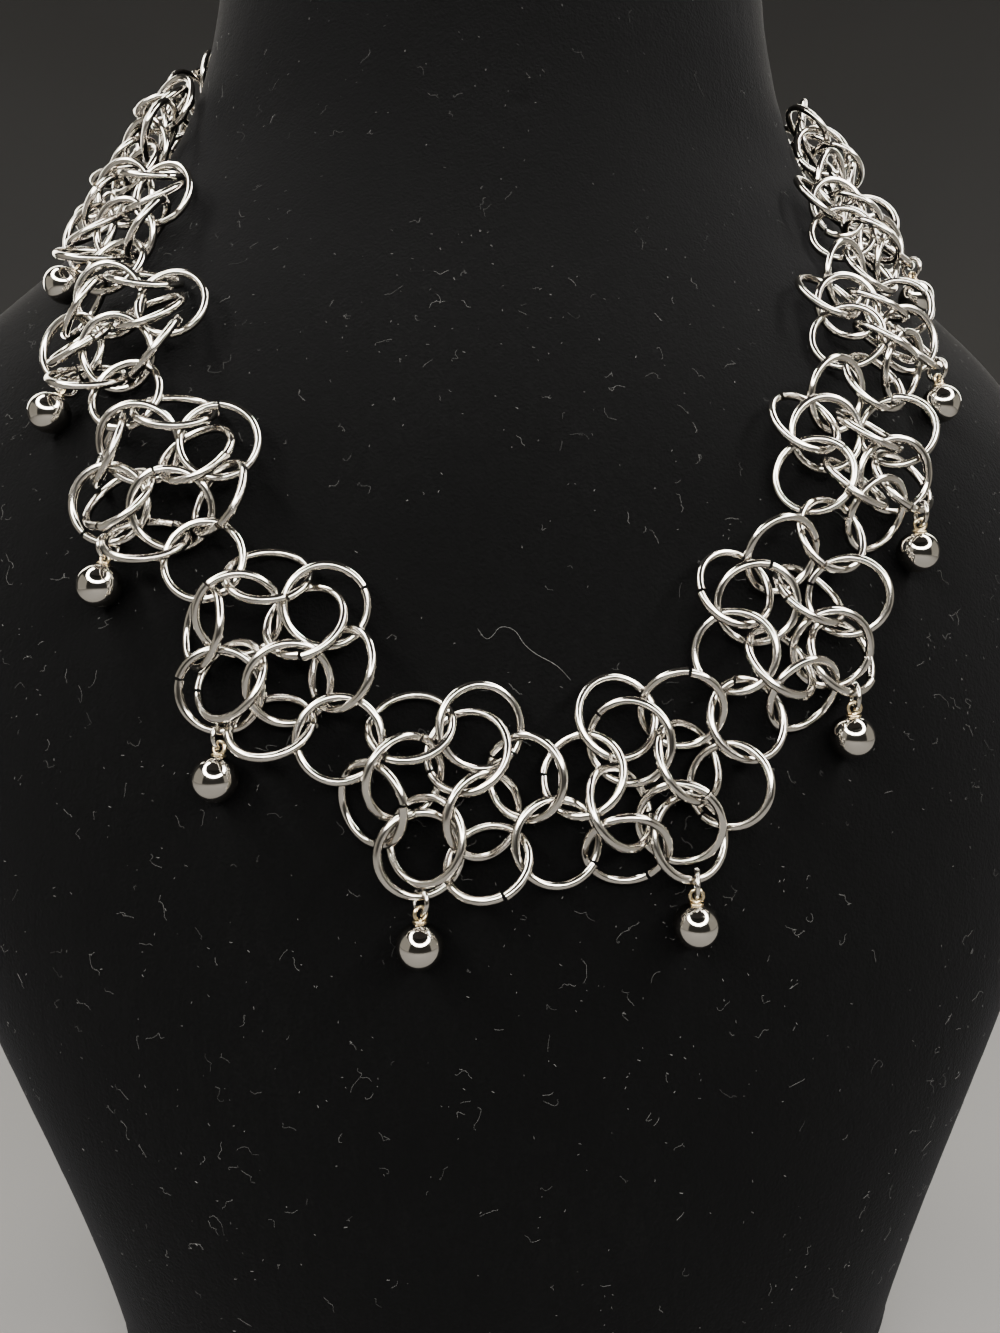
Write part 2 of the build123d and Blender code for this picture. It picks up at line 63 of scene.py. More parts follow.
# Settings that a user would change

def length(name, description, millimetres):
    """Setting in metres, whose usual value is given in millimetres."""
    return bpy.props.FloatProperty(
        name=name, description=description, default=millimetres * MM, unit="LENGTH", precision=6)


def number(name, description, value):
    """Setting that is a whole number."""
    return bpy.props.IntProperty(name=name, description=description, default=value, min=1)


def colour(name, description, value):
    """Setting that is a colour."""
    return bpy.props.FloatVectorProperty(
        name=name, description=description, default=value, size=3, min=0.0, max=1.0, subtype="COLOR")


class NecklaceWire(bpy.types.PropertyGroup):
    """Wire of the woven rings and of the small rings that carry the balls."""
    ring_outer: length("Ring", "Outer diameter of a woven ring", 10.55)
    ring_wire: length("Ring wire", "Wire diameter of a woven ring", 1.05)
    ring_cut: length("Saw cut", "Width of a woven ring's saw cut", 0.34)
    ring_step: length("Cut step", "How far a ring's two ends stand out of line sideways", 0.17)
    ring_flare: length("Cut flare", "How far one end of a ring springs outwards", 0.1)
    drop_outer: length("Small ring", "Outer diameter of a ball's small ring", 3.5)
    drop_wire: length("Small ring wire", "Wire diameter of a ball's small ring", 0.6)
    stations: number("Stations", "Sections along a ring", 72)
    sides: number("Sides", "Sides of the round wire", 12)


class NecklaceDrop(bpy.types.PropertyGroup):
    """Ball drop, measured down from the middle of its eye."""
    ball: length("Ball", "Diameter of the ball", 5.4)
    collar: length("Collar", "Diameter of the collar on the ball", 1.8)
    collar_rise: length("Collar rise", "Height of the collar above the ball", 0.35)
    eye_outer: length("Eye", "Outer diameter of the eye", 1.95)
    eye_wire: length("Eye wire", "Wire diameter of the eye", 0.48)


class NecklaceClasp(bpy.types.PropertyGroup):
    """Barrel clasp behind the neck."""
    length: length("Clasp", "From the middle of one eye to the other", 14.0)
    barrel: length("Barrel", "Diameter of the barrel", 4.2)
    round: length("Round", "Rounding of the barrel's ends", 0.8)
    eye_outer: length("Eye", "Outer diameter of each eye", 4.6)
    eye_wire: length("Eye wire", "Wire diameter of each eye", 1.0)
    groove: length("Groove", "Depth of the turned grooves", 0.16)


class NecklaceBust(bpy.types.PropertyGroup):
    """Velvet skin of the bust."""
    pile: length("Pile", "How far the pile stands off the form", 0.14)
    unevenness: length("Unevenness", "Height of the padding's slow swells", 0.1)
    seam_depth: length("Seam depth", "Depth of a pulled seam", 0.7)
    seam_width: length("Seam width", "Width of a pulled seam", 1.6)
    binding: length("Binding", "Height of the bound edge at the base", 7.0)
    top_seam: length("Top seam", "How far the seam lies below the neck's top", 3.2)
    turns: number("Turns", "Columns round the bust", 260)
    rows: number("Rows", "Rows up the bust", 150)


class NecklaceLint(bpy.types.PropertyGroup):
    """Lint caught in the velvet."""
    fibre_length: length("Fibre length", "Length of a common fibre", 1.3)
    fibre_width: length("Fibre width", "Thickness of a fibre", 0.027)
    fibre_bend: length("Fibre bend", "How strongly a fibre wanders", 3.4)
    fibre_count: number("Fibres", "Fibres on a square decimetre of chest", 460)
    speck_length: length("Speck length", "Length of a speck", 0.22)
    speck_width: length("Speck width", "Thickness of a speck", 0.06)
    speck_bend: length("Speck bend", "How strongly a speck wanders", 0.15)
    speck_count: number("Specks", "Specks on a square decimetre of chest", 700)
    lift: length("Lift", "How far fibres and specks lie off the velvet", 0.08)
    hair_width: length("Hair width", "Thickness of the stray hair", 0.034)
    hair_lift: length("Hair lift", "How far the stray hair lies off the velvet", 0.12)
    seed: number("Seed", "Seed of the lint's places", 7)


class NecklaceFinish(bpy.types.PropertyGroup):
    """Colours of the materials."""
    steel: colour("Steel", "Polished stainless steel", (0.50, 0.472, 0.425))
    steel_dark: colour("Dark steel", "Steel where it is a little dulled", (0.32, 0.29, 0.255))
    brass: colour("Brass", "Collar and eye of a ball", (0.60, 0.49, 0.31))
    velvet: colour("Velvet", "Velvet with the pile upright", (0.0006, 0.0006, 0.0006))
    velvet_brushed: colour("Brushed velvet", "Velvet with the pile laid over", (0.0018, 0.0018, 0.0018))
    lint: colour("Lint", "Pale lint", (0.14, 0.1375, 0.131))
    floor: colour("Floor", "Studio floor", (0.13, 0.1275, 0.1235))
    floor_dark: colour("Dark floor", "Studio floor in its soft clouds", (0.121, 0.1185, 0.1145))


class NecklaceStudio(bpy.types.PropertyGroup):
    """Camera and lights of the plain studio."""
    lens: bpy.props.FloatProperty(
        name="Lens", description="Focal length in millimetres on a sensor 36 mm wide", default=33.3)
    camera: bpy.props.FloatVectorProperty(
        name="Camera", description="Place of the camera", size=3, subtype="TRANSLATION", unit="LENGTH",
        default=(-15.67 * MM, -141.35 * MM, 128.59 * MM))
    aim: bpy.props.FloatVectorProperty(
        name="Aim", description="Turn of the camera", size=3, subtype="EULER", unit="ROTATION",
        default=(math.radians(79.27), math.radians(-0.51), math.radians(-5.29)))
    world: bpy.props.FloatProperty(
        name="Surroundings", description="Strength of the soft light all round", default=0.05)
    ring: bpy.props.FloatProperty(
        name="Ring of lights", description="Power of each light in the open ring overhead", default=2.7)
    ring_turn: bpy.props.FloatProperty(
        name="Ring opening", description="Turn from the ring's axis out to its lights", subtype="ANGLE",
        default=math.radians(43))
    ring_reach: bpy.props.FloatProperty(
        name="Ring reach", description="From the necklace to each light of the ring", unit="LENGTH",
        default=0.55)
    side: bpy.props.FloatProperty(
        name="Side lights", description="Power of the pale panel on each side", default=0.34)
    back: bpy.props.FloatProperty(
        name="Back lights", description="Power of each soft light behind the bust", default=5.0)


# Where the stray hair lies on the chest: millimetres to the right and up
STRAY_HAIR = (
    (-8.2, 112.6), (-7.6, 111.6), (-7.0, 111.3), (-6.3, 111.8), (-5.7, 112.7), (-4.7, 112.8),
    (-3.5, 112.2), (-2.8, 110.8), (-1.3, 109.6), (0.4, 108.8), (1.6, 108.0), (2.7, 106.7),
)


# Soft lights: name, place, width and height in metres, and the setting of their power
SOFT_LIGHTS = (
    ("left_light", (-0.52, -0.14, 0.22), 0.56, 0.42, "side"),
    ("right_light", (0.52, -0.14, 0.22), 0.56, 0.42, "side"),
    ("back_left_light", (-0.45, 0.55, 0.42), 0.40, 0.40, "back"),
    ("back_right_light", (0.45, 0.55, 0.42), 0.40, 0.40, "back"),
)

# Middle of what the lights shine on, and their tints
LIT_MIDDLE = Vector((0.0, -0.03, 0.11))
WARM_WHITE = (1.0, 0.95, 0.84)
KEY_WHITE = (1.0, 0.98, 0.95)
SURROUNDING_WHITE = (1.0, 0.91, 0.85, 1.0)


# Node trees

class Tree:
    """A node tree in the making. Inputs are given by name or number, as values or as sockets."""

    def __init__(self, tree):
        self.tree = tree

    def add(self, kind, inputs=None, **options):
        node = self.tree.nodes.new(kind)
        node.location = (NODE_STEP * len(self.tree.nodes), 0)
        for name, value in options.items():
            setattr(node, name, value)
        for name, value in (inputs or {}).items():
            self.put(node.inputs[name], value)
        return node

    def put(self, socket, value):
        if isinstance(value, bpy.types.NodeSocket):
            self.tree.links.new(value, socket)
        else:
            socket.default_value = value

    def out(self, kind, inputs=None, output=0, **options):
        """Adds a node and gives one of its outputs."""
        return self.add(kind, inputs, **options).outputs[output]

    def maths(self, operation, *values):
        return self.out("ShaderNodeMath", dict(enumerate(values)), operation=operation)


def geometry_tree(name, numbers, counts=()):
    """Empty Geometry Nodes tree with named inputs: numbers, whole numbers and a material."""
    tree = bpy.data.node_groups.new(name, "GeometryNodeTree")
    kinds = [("Geometry", "Geometry")]
    kinds += [(label, "Float") for label in numbers]
    kinds += [(label, "Int") for label in counts]
    kinds.append(("Material", "Material"))
    for label, kind in kinds:
        tree.interface.new_socket(label, in_out="INPUT", socket_type=f"NodeSocket{kind}")
    tree.interface.new_socket("Geometry", in_out="OUTPUT", socket_type="NodeSocketGeometry")
    return Tree(tree), tree.nodes.new("NodeGroupInput").outputs


def end_tree(nodes, geometry, material):
    """Realizes what a tree made, gives it its material and hands it out."""
    real = nodes.out("GeometryNodeRealizeInstances", {"Geometry": geometry})
    clad = nodes.out("GeometryNodeSetMaterial", {"Geometry": real, "Material": material})
    nodes.add("NodeGroupOutput", {0: clad})
    return nodes.tree


def linked(name, data):
    """New object in the scene."""
    made = bpy.data.objects.new(name, data)
    bpy.context.scene.collection.objects.link(made)
    return made


def grown(name, mesh, tree, values):
    """Runs a tree on a mesh and keeps the result as a plain piece."""
    piece = linked(name, mesh)
    modifier = piece.modifiers.new(name, "NODES")
    modifier.node_group = tree
    for socket in tree.interface.items_tree:
        if socket.in_out == "INPUT" and socket.name in values:
            modifier[socket.identifier] = values[socket.name]
    depsgraph = bpy.context.evaluated_depsgraph_get()
    result = bpy.data.meshes.new_from_object(
        piece.evaluated_get(depsgraph), preserve_all_data_layers=True, depsgraph=depsgraph)
    piece.modifiers.remove(modifier)
    piece.data = result
    return piece


def ring_tree():
    """Round wire rings with a saw cut, one at each point, turned by the point's own turn."""
    nodes, given = geometry_tree(
        "wire_rings", ("Mean radius", "Wire", "Cut", "Step", "Flare"), ("Stations", "Sides"))
    cut_turn = nodes.maths("DIVIDE", given["Cut"], given["Mean radius"])
    arc = nodes.out("GeometryNodeCurveArc", {
        "Resolution": given["Stations"], "Radius": given["Mean radius"],
        "Start Angle": nodes.maths("MULTIPLY", cut_turn, 0.5),
        "Sweep Angle": nodes.maths("SUBTRACT", 2 * math.pi, cut_turn)})
    along = nodes.out("GeometryNodeSplineParameter")
    rise = nodes.maths("MULTIPLY", nodes.maths("SUBTRACT", along, 0.5), given["Step"])
    sprung_from = 0.88
    near_end = nodes.out("ShaderNodeMapRange", {"Value": along, "From Min": sprung_from})
    spring = nodes.maths("MULTIPLY", nodes.maths("POWER", near_end, 2.0), given["Flare"])
    stepped = nodes.out("GeometryNodeSetPosition", {
        "Geometry": arc, "Offset": nodes.out("ShaderNodeCombineXYZ", {"X": spring, "Z": rise})})
    half_wire = nodes.maths("MULTIPLY", given["Wire"], 0.5)
    section = nodes.out("GeometryNodeCurvePrimitiveCircle", {
        "Resolution": given["Sides"], "Radius": half_wire})
    wire = nodes.out("GeometryNodeCurveToMesh", {
        "Curve": kept_along(nodes, stepped, "wire_along"),
        "Profile Curve": kept_along(nodes, section, "wire_round"), "Fill Caps": True})
    corners = nodes.out("GeometryNodeInputMeshFaceNeighbors", output="Vertex Count")
    side_corners = 4
    round_faces = nodes.out("FunctionNodeCompare", {"A": corners, "B": side_corners + 0.5},
                            operation="LESS_THAN", data_type="FLOAT")
    smooth = nodes.out("GeometryNodeSetShadeSmooth", {
        "Geometry": nodes.out("GeometryNodeSetShadeSmooth", {"Geometry": wire, "Shade Smooth": False}),
        "Selection": round_faces, "Shade Smooth": True})
    rings = copies_at(nodes, given["Geometry"], smooth)
    tone = nodes.out("FunctionNodeRandomValue", {"Seed": 3}, output=1, data_type="FLOAT")
    toned = nodes.out("GeometryNodeStoreNamedAttribute", {
        "Geometry": rings, "Name": "tone", "Value": tone}, data_type="FLOAT", domain="INSTANCE")
    return end_tree(nodes, toned, given["Material"])


def kept_along(nodes, curve, name):
    """Stores how far along a curve each point lies, as a named attribute."""
    along = nodes.out("GeometryNodeSplineParameter")
    return nodes.out("GeometryNodeStoreNamedAttribute", {
        "Geometry": curve, "Name": name, "Value": along}, data_type="FLOAT", domain="POINT")


def copies_at(nodes, points, shape):
    """Copies of a shape, one at each point, turned by the point's own turn."""
    turn = nodes.out("GeometryNodeInputNamedAttribute", {"Name": "turn"}, data_type="QUATERNION")
    return nodes.out("GeometryNodeInstanceOnPoints", {
        "Points": points, "Instance": shape, "Rotation": turn})


def placed_tree(name, shape):
    """Copies of a part of the ball drop, one at each point."""
    nodes, given = geometry_tree(
        name, ("Ball radius", "Collar radius", "Collar rise", "Eye radius", "Eye wire"))
    copies = copies_at(nodes, given["Geometry"], shape(nodes, given))
    return end_tree(nodes, copies, given["Material"])


def lowered(nodes, geometry, depth):
    """Geometry moved down."""
    down = nodes.out("ShaderNodeCombineXYZ", {"Z": nodes.maths("MULTIPLY", depth, -1.0)})
    return nodes.out("GeometryNodeTransform", {"Geometry": geometry, "Translation": down})


def smooth_shaded(nodes, geometry):
    """Geometry with smooth shading."""
    return nodes.out("GeometryNodeSetShadeSmooth", {"Geometry": geometry, "Shade Smooth": True})


def ball_shape(nodes, given):
    """Polished ball below its eye."""
    depth = nodes.maths("ADD", nodes.maths("ADD", given["Eye radius"], given["Collar rise"]),
                        given["Ball radius"])
    depth = nodes.maths("SUBTRACT", depth, nodes.maths("MULTIPLY", given["Eye wire"], 0.5))
    ball = nodes.out("GeometryNodeMeshUVSphere", {
        "Segments": 48, "Rings": 28, "Radius": given["Ball radius"]})
    return smooth_shaded(nodes, lowered(nodes, ball, depth))


def collar_shape(nodes, given):
    """Eye of thin wire on a short collar with a soldered bead round its foot."""
    stations, sides, neck_share, bead_share = 28, 10, 0.34, 0.34
    half_wire = nodes.maths("MULTIPLY", given["Eye wire"], 0.5)
    section = nodes.out("GeometryNodeCurvePrimitiveCircle", {"Resolution": sides, "Radius": half_wire})
    loop = nodes.out("GeometryNodeCurvePrimitiveCircle", {
        "Resolution": stations, "Radius": given["Eye radius"]})
    eye = nodes.out("GeometryNodeTransform", {
        "Geometry": nodes.out("GeometryNodeCurveToMesh", {"Curve": loop, "Profile Curve": section}),
        "Rotation": (0.0, math.pi / 2, 0.0)})
    top = nodes.maths("SUBTRACT", given["Eye radius"], half_wire)
    neck_height = nodes.maths("MULTIPLY", given["Collar rise"], 2.0)
    neck = nodes.out("GeometryNodeMeshCylinder", {
        "Vertices": stations, "Depth": neck_height,
        "Radius": nodes.maths("MULTIPLY", given["Collar radius"], neck_share)})
    neck = lowered(nodes, neck, nodes.maths("ADD", top, given["Collar rise"]))
    bead_wire = nodes.maths("MULTIPLY", given["Collar rise"], bead_share)
    bead_round = nodes.out("GeometryNodeCurvePrimitiveCircle", {"Resolution": sides, "Radius": bead_wire})
    bead_loop = nodes.out("GeometryNodeCurvePrimitiveCircle", {
        "Resolution": stations, "Radius": nodes.maths("SUBTRACT", given["Collar radius"], bead_wire)})
    bead = nodes.out("GeometryNodeCurveToMesh", {"Curve": bead_loop, "Profile Curve": bead_round})
    bead = lowered(nodes, bead, nodes.maths("ADD", top, given["Collar rise"]))
    joined = nodes.add("GeometryNodeJoinGeometry")
    for piece in (eye, neck, bead):
        nodes.tree.links.new(piece, joined.inputs[0])
    return smooth_shaded(nodes, joined.outputs[0])


def lint_tree():
    """Bent fibres lying on a surface, thickest where the surface's lint attribute is high."""
    points_along, shortest, longest, bend_scale, sides = 10, 0.35, 1.7, 900.0, 3
    nodes, given = geometry_tree("lint", ("Count", "Length", "Width", "Bend", "Lift"), ("Seed",))
    amount = nodes.out("GeometryNodeInputNamedAttribute", {"Name": "lint"}, data_type="FLOAT")
    spread = nodes.add("GeometryNodeDistributePointsOnFaces", {
        "Mesh": given["Geometry"], "Density": nodes.maths("MULTIPLY", amount, given["Count"]),
        "Seed": given["Seed"]})
    normal = spread.outputs["Normal"]
    flat = nodes.out("FunctionNodeAlignRotationToVector", {"Vector": normal}, axis="Z")
    angle = nodes.out("FunctionNodeRandomValue", {"Max": 2 * math.pi, "Seed": given["Seed"]},
                      output=1, data_type="FLOAT")
    spin = nodes.out("FunctionNodeAxisAngleToRotation", {"Axis": (0.0, 0.0, 1.0), "Angle": angle})
    spun = nodes.out("FunctionNodeRotateRotation", {"Rotation": flat, "Rotate By": spin},
                     rotation_space="LOCAL")
    half = nodes.maths("MULTIPLY", given["Length"], 0.5)
    line = nodes.out("GeometryNodeCurvePrimitiveLine", {
        "Start": nodes.out("ShaderNodeCombineXYZ", {"X": nodes.maths("MULTIPLY", half, -1.0)}),
        "End": nodes.out("ShaderNodeCombineXYZ", {"X": half})})
    line = nodes.out("GeometryNodeResampleCurve", {"Curve": line, "Count": points_along})
    size = nodes.out("FunctionNodeRandomValue", {"Min": shortest, "Max": longest, "Seed": given["Seed"]},
                     output=1, data_type="FLOAT")
    fibres = nodes.out("GeometryNodeInstanceOnPoints", {
        "Points": spread.outputs["Points"], "Instance": line, "Rotation": spun, "Scale": size})
    nap = nodes.out("GeometryNodeSampleNearestSurface", {
        "Mesh": given["Geometry"], "Value": nodes.out("GeometryNodeInputNormal")},
        data_type="FLOAT_VECTOR")
    place = nodes.out("GeometryNodeInputPosition")
    wander = nodes.out("ShaderNodeTexNoise", {"Vector": place, "Scale": bend_scale, "Detail": 1.0},
                       output=1)
    wander = nodes.out("ShaderNodeVectorMath", {0: wander, 1: (0.5, 0.5, 0.5)}, operation="SUBTRACT")
    wander = nodes.out("ShaderNodeVectorMath", {0: wander, "Scale": given["Bend"]}, operation="SCALE")
    nearest = nodes.out("GeometryNodeProximity", {0: given["Geometry"]}, target_element="FACES")
    raised = nodes.out("ShaderNodeVectorMath", {0: nap, "Scale": given["Lift"]}, operation="SCALE")
    bent = nodes.out("GeometryNodeSetPosition", {
        "Geometry": nodes.out("GeometryNodeRealizeInstances", {"Geometry": fibres}), "Offset": wander})
    laid = nodes.out("GeometryNodeSetPosition", {
        "Geometry": bent, "Position": nearest, "Offset": raised})
    section = nodes.out("GeometryNodeCurvePrimitiveCircle", {
        "Resolution": sides, "Radius": nodes.maths("MULTIPLY", given["Width"], 0.5)})
    hairs = nodes.out("GeometryNodeCurveToMesh", {"Curve": laid, "Profile Curve": section})
    return end_tree(nodes, smooth_shaded(nodes, hairs), given["Material"])


# Measuring the CAD nodes

def points_of(node):
    """Corner points of a CAD node, and its triangles."""
    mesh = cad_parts[node].data
    mesh.calc_loop_triangles()
    points = np.zeros(3 * len(mesh.vertices))
    mesh.vertices.foreach_get("co", points)
    corners = np.zeros(3 * len(mesh.loop_triangles), int)
    mesh.loop_triangles.foreach_get("vertices", corners)
    return points.reshape(-1, 3), corners.reshape(-1, 3)


def loose_solids(node, weld=0.002 * MM):
    """Points of each loose solid of a CAD node, in the order of its place in the mesh."""
    points, corners = points_of(node)
    cells = np.round(points / weld).astype(np.int64)
    _, first, cell_of = np.unique(cells, axis=0, return_index=True, return_inverse=True)
    corners = cell_of.reshape(-1)[corners]
    label = np.arange(len(first))
    while True:
        lowest = label[corners].min(axis=1)
        joined = label.copy()
        for k in range(3):
            np.minimum.at(joined, corners[:, k], lowest)
        joined = joined[joined]
        if np.array_equal(joined, label):
            break
        label = joined
    welded = points[first]
    return [welded[label == solid] for solid in np.unique(label)]


def main_ways(points):
    """Directions in which points spread most, less and least."""
    return np.linalg.svd(points - points.mean(axis=0), full_matrices=False)[2]


def ring_place(points):
    """Centre of a cut wire ring, and its turn with X at the saw cut and Z as its axis."""
    axis = main_ways(points)[2]
    nearly_x, same_place = 0.9, 0.01
    first = np.cross(axis, (1.0, 0.0, 0.0) if abs(axis[0]) < nearly_x else (0.0, 1.0, 0.0))
    first /= np.linalg.norm(first)
    second = np.cross(axis, first)
    middle = points.mean(axis=0)
    flat = (points - middle) @ np.stack([first, second], axis=1)
    level = np.column_stack([2 * flat, np.ones(len(flat))])
    circle = np.linalg.lstsq(level, (flat ** 2).sum(axis=1), rcond=None)[0]
    centre = middle + first * circle[0] + second * circle[1]
    turns = np.sort(np.arctan2(flat[:, 1] - circle[1], flat[:, 0] - circle[0]))
    steps = np.diff(turns, append=turns[0] + 2 * math.pi)
    narrowest = np.argmin(np.where(steps > same_place, steps, np.inf))
    cut = turns[narrowest] + steps[narrowest] / 2
    towards = first * math.cos(cut) + second * math.sin(cut)
    return centre, turned(towards, axis)


def turned(x_way, z_way):
    """Quaternion with X and Z along two directions."""
    columns = np.stack([x_way, np.cross(z_way, x_way), z_way], axis=1)
    return Matrix(columns.tolist()).to_quaternion()


def ball_place(points, radius):
    """Middle of a drop's ball, and its turn with X as the eye's axis and Z up from the ball."""
    rounds, close, past_ball = 8, 0.05 * MM, 0.55 * MM
    near = np.ones(len(points), bool)
    for _ in range(rounds):
        chosen = points[near]
        level = np.column_stack([2 * chosen, np.ones(len(chosen))])
        centre = np.linalg.lstsq(level, (chosen ** 2).sum(axis=1), rcond=None)[0][:3]
        off = np.abs(np.linalg.norm(points - centre, axis=1) - radius)
        near = off < max(close, np.quantile(off, 0.5))
    away = np.linalg.norm(points - centre, axis=1)
    loop = points[away > radius + past_ball]
    up = loop.mean(axis=0) - centre
    up /= np.linalg.norm(up)
    across = main_ways(loop)[2]
    across -= up * np.dot(across, up)
    across /= np.linalg.norm(across)
    return centre, turned(across, up)


def point_mesh(name, places):
    """Mesh with a point at each place, and the turn of what stands there."""
    mesh = bpy.data.meshes.new(name)
    mesh.from_pydata([tuple(place) for place, _ in places], [], [])
    turns = mesh.attributes.new("turn", "QUATERNION", "POINT")
    turns.data.foreach_set("value", [value for _, turn in places for value in turn])
    return mesh


def nodes_named(start):
    """Names of the CAD nodes that start alike, in order."""
    return sorted(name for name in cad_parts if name.startswith(start))


# Materials

def material(name):
    """New material, its tree, its Principled shader and the place on the object."""
    made = bpy.data.materials.new(name)
    made.use_nodes = True
    nodes = Tree(made.node_tree)
    shader = made.node_tree.nodes["Principled BSDF"]
    return made, nodes, shader, nodes.out("ShaderNodeTexCoord", output="Object")


def set_shader(nodes, shader, values):
    """Sets or links the shader's sockets by name."""
    for name, value in values.items():
        nodes.put(shader.inputs[name], value)


def mixed(nodes, factor, low, high):
    """Colour between two, by a factor."""
    return nodes.out("ShaderNodeMix", {"Factor": factor, "A": (*low, 1.0), "B": (*high, 1.0)}, 2,
                     data_type="RGBA")


def ranged(nodes, value, low, high, to_low, to_high):
    """Value carried over from one range to another, and kept inside it."""
    return nodes.out("ShaderNodeMapRange", {
        "Value": value, "From Min": low, "From Max": high, "To Min": to_low, "To Max": to_high})


def noise_of(nodes, place, scale, detail):
    """Noise between 0 and 1 at a place."""
    return nodes.out("ShaderNodeTexNoise", {"Vector": place, "Scale": scale, "Detail": detail})


def bumped(nodes, height, strength, distance):
    """Normal of a fine relief, with its distance in millimetres."""
    return nodes.out("ShaderNodeBump", {
        "Height": height, "Strength": strength, "Distance": distance * MM})


def wire_steel(finish):
    """Polished drawn wire: fine marks run along it, with a little dullness here and there."""
    made, nodes, shader, place = material("polished_wire_steel")
    along = nodes.out("ShaderNodeAttribute", output="Fac", attribute_name="wire_along")
    round_it = nodes.out("ShaderNodeAttribute", output="Fac", attribute_name="wire_round")
    tone = nodes.out("ShaderNodeAttribute", output="Fac", attribute_name="tone")
    on_wire = nodes.out("ShaderNodeCombineXYZ", {
        "X": nodes.maths("MULTIPLY", along, 9.0), "Y": nodes.maths("MULTIPLY", round_it, 26.0),
        "Z": nodes.maths("MULTIPLY", tone, 40.0)})
    drawn = noise_of(nodes, on_wire, 1.0, 4.0)
    dull = noise_of(nodes, place, 260.0, 3.0)
    fine = noise_of(nodes, place, 2600.0, 2.0)
    dulled = nodes.maths("MULTIPLY", ranged(nodes, dull, 0.48, 0.72, 0.0, 1.0), 0.55)
    set_shader(nodes, shader, {
        "Metallic": 1.0,
        "Base Color": mixed(nodes, dulled, finish.steel, finish.steel_dark),
        "Roughness": nodes.maths("ADD", ranged(nodes, drawn, 0.35, 0.75, 0.06, 0.17),
                                 nodes.maths("MULTIPLY", fine, 0.04)),
        "Normal": bumped(nodes, drawn, 0.3, 0.05)})
    return made


def ball_steel(finish):
    """Mirror polish with a few fine scratches and soft marks."""
    made, nodes, shader, place = material("mirror_ball_steel")
    soft = noise_of(nodes, place, 320.0, 3.0)
    stretch = nodes.out("ShaderNodeMapping", {
        "Vector": place, "Rotation": (0.4, 0.7, 0.2), "Scale": (500.0, 5200.0, 900.0)})
    scratches = noise_of(nodes, stretch, 1.0, 2.0)
    marked = ranged(nodes, scratches, 0.66, 0.72, 0.0, 0.12)
    set_shader(nodes, shader, {
        "Metallic": 1.0,
        "Base Color": mixed(nodes, ranged(nodes, soft, 0.5, 0.75, 0.0, 0.4), finish.steel,
                            finish.steel_dark),
        "Roughness": nodes.maths("ADD", ranged(nodes, soft, 0.3, 0.7, 0.05, 0.10), marked),
        "Normal": bumped(nodes, scratches, 0.04, 0.03)})
    return made


def collar_brass(finish):
    """Bright brass, dulled a little where it was soldered."""
    made, nodes, shader, place = material("collar_brass")
    flow = noise_of(nodes, place, 900.0, 3.0)
    darker = [value * 0.55 for value in finish.brass]
    set_shader(nodes, shader, {
        "Metallic": 1.0,
        "Base Color": mixed(nodes, ranged(nodes, flow, 0.45, 0.7, 0.0, 0.8), finish.brass, darker),
        "Roughness": ranged(nodes, flow, 0.3, 0.7, 0.16, 0.34),
        "Normal": bumped(nodes, flow, 0.25, 0.05)})
    return made


def clasp_steel(finish):
    """Turned steel, its marks running round the barrel."""
    made, nodes, shader, place = material("turned_clasp_steel")
    stretch = nodes.out("ShaderNodeMapping", {"Vector": place, "Scale": (5000.0, 250.0, 250.0)})
    turned_marks = noise_of(nodes, stretch, 1.0, 3.0)
    dull = noise_of(nodes, place, 300.0, 2.0)
    set_shader(nodes, shader, {
        "Metallic": 1.0,
        "Base Color": mixed(nodes, ranged(nodes, dull, 0.5, 0.7, 0.0, 0.6), finish.steel,
                            finish.steel_dark),
        "Roughness": ranged(nodes, turned_marks, 0.3, 0.7, 0.12, 0.26),
        "Normal": bumped(nodes, turned_marks, 0.12, 0.04)})
    return made


def velvet(finish):
    """Short black pile, laid over in soft patches, with the grain of its tufts."""
    made, nodes, shader, place = material("black_velvet")
    patches = noise_of(nodes, place, 38.0, 4.0)
    tufts = noise_of(nodes, place, 2400.0, 3.0)
    nap = nodes.out("ShaderNodeMapping", {"Vector": place, "Scale": (900.0, 900.0, 260.0)})
    streaks = noise_of(nodes, nap, 1.0, 3.0)
    grain = nodes.maths("MULTIPLY", ranged(nodes, tufts, 0.3, 0.75, 0.0, 1.0),
                        ranged(nodes, streaks, 0.3, 0.7, 0.4, 1.0))
    laid = nodes.maths("MULTIPLY", ranged(nodes, patches, 0.35, 0.7, 0.35, 1.0), grain)
    height = nodes.maths("ADD", tufts, nodes.maths("MULTIPLY", streaks, 0.5))
    set_shader(nodes, shader, {
        "Base Color": mixed(nodes, laid, finish.velvet, finish.velvet_brushed),
        "Roughness": 1.0,
        "Specular IOR Level": 0.05,
        "Sheen Weight": 0.018,
        "Sheen Roughness": 0.42,
        "Sheen Tint": (0.85, 0.85, 0.9, 1.0),
        "Normal": bumped(nodes, height, 0.7, 0.18)})
    return made


def lint_fluff(finish):
    """Pale dusty fibre."""
    made, nodes, shader, place = material("pale_lint")
    shade = noise_of(nodes, place, 160.0, 1.0)
    darker = [value * 0.3 for value in finish.lint]
    set_shader(nodes, shader, {
        "Base Color": mixed(nodes, ranged(nodes, shade, 0.35, 0.65, 0.0, 1.0), darker, finish.lint),
        "Roughness": 0.85,
        "Specular IOR Level": 0.2})
    return made


